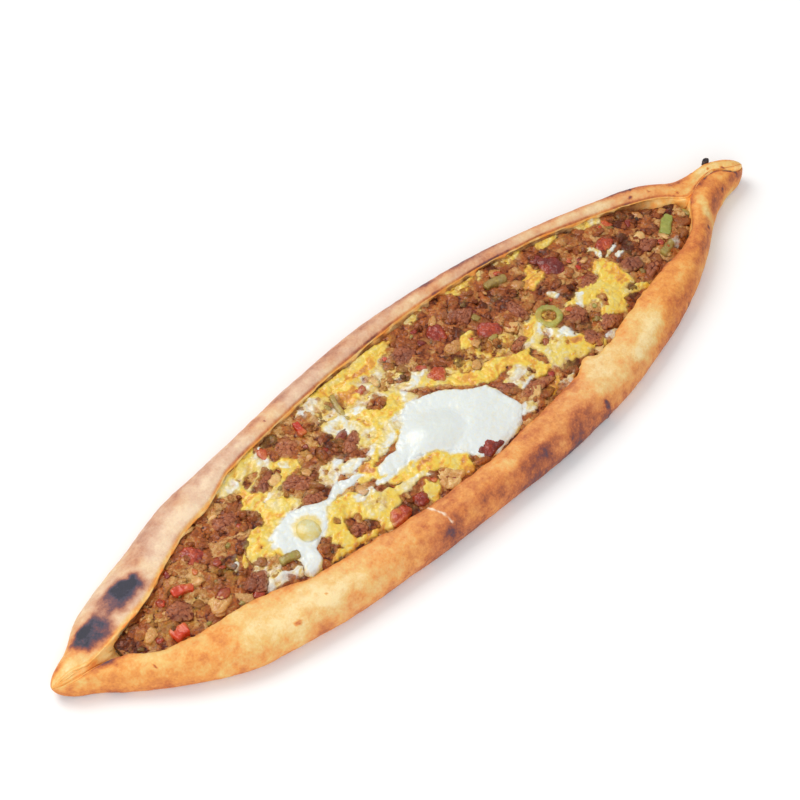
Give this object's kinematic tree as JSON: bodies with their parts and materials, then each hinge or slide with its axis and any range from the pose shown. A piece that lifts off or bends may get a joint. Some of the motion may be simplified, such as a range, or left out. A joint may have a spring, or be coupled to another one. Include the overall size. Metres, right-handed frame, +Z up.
{
  "type": "turkish pide",
  "caption": "Long boat-shaped baked flatbread with folded-in edges round a filling of minced meat, egg, tomato and pepper.",
  "frame": {"origin": "middle of the outline, on the surface it lies on", "axes": "+X along the boat to the end where one fold laps round the other, -Y to the side of the broader fold, +Z up"},
  "size_m": [0.492, 0.1329, 0.0217],
  "materials": {
    "crust": "baked dough: matt, golden to brown, with charred spots",
    "filling": "minced meat: oily brown",
    "egg_white": "set egg white: smooth, soft gloss",
    "egg_yolk": "set yolk: soft gloss",
    "tomato": "baked tomato: wet red",
    "meat": "browned meat: rough, oily",
    "onion": "baked onion: translucent, oily",
    "red_pepper": "baked red pepper: glossy skin",
    "green_pepper": "baked green pepper: glossy skin"
  },
  "bodies": {
    "root": {"crust": "crust", "egg_white_large": "egg_white", "egg_white_small": "egg_white", "egg_yolk": "egg_yolk", "egg_yolk_patch_1": "egg_yolk", "egg_yolk_patch_2": "egg_yolk", "egg_yolk_patch_3": "egg_yolk", "egg_yolk_patch_4": "egg_yolk", "egg_yolk_patch_5": "egg_yolk", "egg_yolk_patch_6": "egg_yolk", "filling": "filling", "green_pepper_01": "green_pepper", "green_pepper_02": "green_pepper", "green_pepper_03": "green_pepper", "green_pepper_04": "green_pepper", "green_pepper_05": "green_pepper", "green_pepper_06": "green_pepper", "meat_01": "meat", "meat_02": "meat", "meat_03": "meat", "meat_04": "meat", "meat_05": "meat", "meat_06": "meat", "meat_07": "meat", "meat_08": "meat", "meat_09": "meat", "meat_10": "meat", "meat_11": "meat", "meat_12": "meat", "meat_13": "meat", "meat_14": "meat", "meat_15": "meat", "meat_16": "meat", "meat_17": "meat", "meat_18": "meat", "meat_19": "meat", "meat_20": "meat", "meat_21": "meat", "meat_22": "meat", "onion_01": "onion", "onion_02": "onion", "onion_03": "onion", "onion_04": "onion", "red_pepper_01": "red_pepper", "red_pepper_02": "red_pepper", "red_pepper_03": "red_pepper", "tomato_01": "tomato", "tomato_02": "tomato", "tomato_03": "tomato", "tomato_04": "tomato", "tomato_05": "tomato", "tomato_06": "tomato", "tomato_07": "tomato", "tomato_08": "tomato", "tomato_09": "tomato"}
  },
  "joints": []
}
